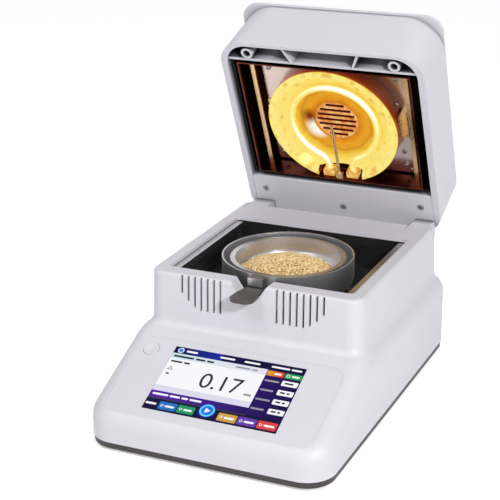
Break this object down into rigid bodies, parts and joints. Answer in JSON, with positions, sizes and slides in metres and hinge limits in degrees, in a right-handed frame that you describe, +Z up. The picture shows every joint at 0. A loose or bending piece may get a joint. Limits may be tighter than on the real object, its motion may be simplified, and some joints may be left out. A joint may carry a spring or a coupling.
{
  "type": "moisture analyzer",
  "caption": "Bench moisture analyzer: sloped touch panel, open weighing chamber with a pan of grain, and a hinged lid that holds a lit ring heater.",
  "frame": {"origin": "centre of the footprint's bounding box, on the bench, with the lid open", "axes": "+Z up, +X to the right as seen by the user, +Y from the touch panel to the hinge"},
  "size_m": [0.195, 0.3464, 0.2895],
  "materials": {
    "housing_plastic": "fine matte moulded plastic, pale lavender grey",
    "dark_tray_plastic": "near-black brown moulded plastic",
    "foot_rubber": "black rubber",
    "screw_steel": "zinc-plated steel screws",
    "screen_glass": "glossy cover glass over a lit screen",
    "module_plastic": "black screen module",
    "board_green": "green circuit board",
    "switch_plastic": "black plastic",
    "chamber_black": "black enamelled sheet steel",
    "bright_steel": "bright stainless sheet steel",
    "cell_aluminium": "machined aluminium",
    "pan_aluminium": "thin pressed aluminium",
    "grain": null,
    "tab_plastic": "dark heat-proof plastic",
    "port_metal": "nickel-plated shell",
    "bush_plastic": "white bearing plastic",
    "insulation": "pale fibre insulation",
    "reflector_metal": "polished reflector sheet",
    "lamp_glass": "clear quartz tube, white hot when lit",
    "ceramic": null
  },
  "bodies": {
    "base": {"top_housing": "housing_plastic", "bottom_tray": "dark_tray_plastic", "rubber_feet": "foot_rubber", "tray_screws": "screw_steel", "chamber_liner": "chamber_black", "chamber_rails": "bright_steel", "chamber_plate": "chamber_black", "heat_shield": "bright_steel", "display_glass": "screen_glass", "lcd_module": "module_plastic", "display_bracket": "bright_steel", "key_board": "board_green", "tact_switch": "switch_plastic", "load_cell": "cell_aluminium", "cell_pillar": "cell_aluminium", "cell_screws": "screw_steel", "main_board": "board_green", "power_board": "board_green", "standoffs": "bright_steel", "mains_inlet": "switch_plastic", "fuse_drawer": "switch_plastic", "mains_switch_frame": "switch_plastic", "data_port": "port_metal", "hinge_pins": "screw_steel", "hinge_plates": "bright_steel"},
    "lid": {"lid_shell": "housing_plastic", "hinge_cover": "housing_plastic", "cover_screws": "screw_steel", "hinge_bushes": "bush_plastic", "lid_liner": "chamber_black", "insulation_pad": "insulation", "heater_box": "bright_steel", "reflector_plate": "reflector_metal", "reflector_dish": "reflector_metal", "vent_grille": "bright_steel", "halogen_lamp": "lamp_glass", "lamp_sockets": "ceramic", "temperature_probe": "bright_steel", "side_rails": "ceramic", "plate_screws": "screw_steel", "dish_clamps": "bright_steel"},
    "weighing_group": {"weighing_stem": "screw_steel", "pan_carrier": "bright_steel", "pan_holder": "bright_steel", "handle_bracket": "bright_steel", "handle_tab": "tab_plastic", "handle_rivets": "screw_steel", "sample_pan": "pan_aluminium", "sample_grain": "grain"},
    "power_key": {"power_key": "housing_plastic"},
    "mains_rocker": {"mains_rocker": "switch_plastic"}
  },
  "joints": [
    {"name": "lid_hinge", "type": "hinge", "parent": "base", "child": "lid", "pos_m": [0, 0.1068, 0.0898], "axis": [1, 0, 0], "range_deg": [0, 66.1]},
    {"name": "pan_load", "type": "slide", "parent": "base", "child": "weighing_group", "axis": [0, 0, -1], "range_m": [0, 0.0004], "stiffness_N_per_m": 3600, "springref_m": -0.0006},
    {"name": "power_key_press", "type": "slide", "parent": "base", "child": "power_key", "axis": [0, 0.3843, -0.9232], "range_m": [0, 0.0008], "stiffness_N_per_m": 900, "springref_m": -0.0005},
    {"name": "mains_rocker_tilt", "type": "hinge", "parent": "base", "child": "mains_rocker", "pos_m": [-0.018, 0.12065, 0.032], "axis": [0, 0, 1], "range_deg": [0, 16]}
  ]
}
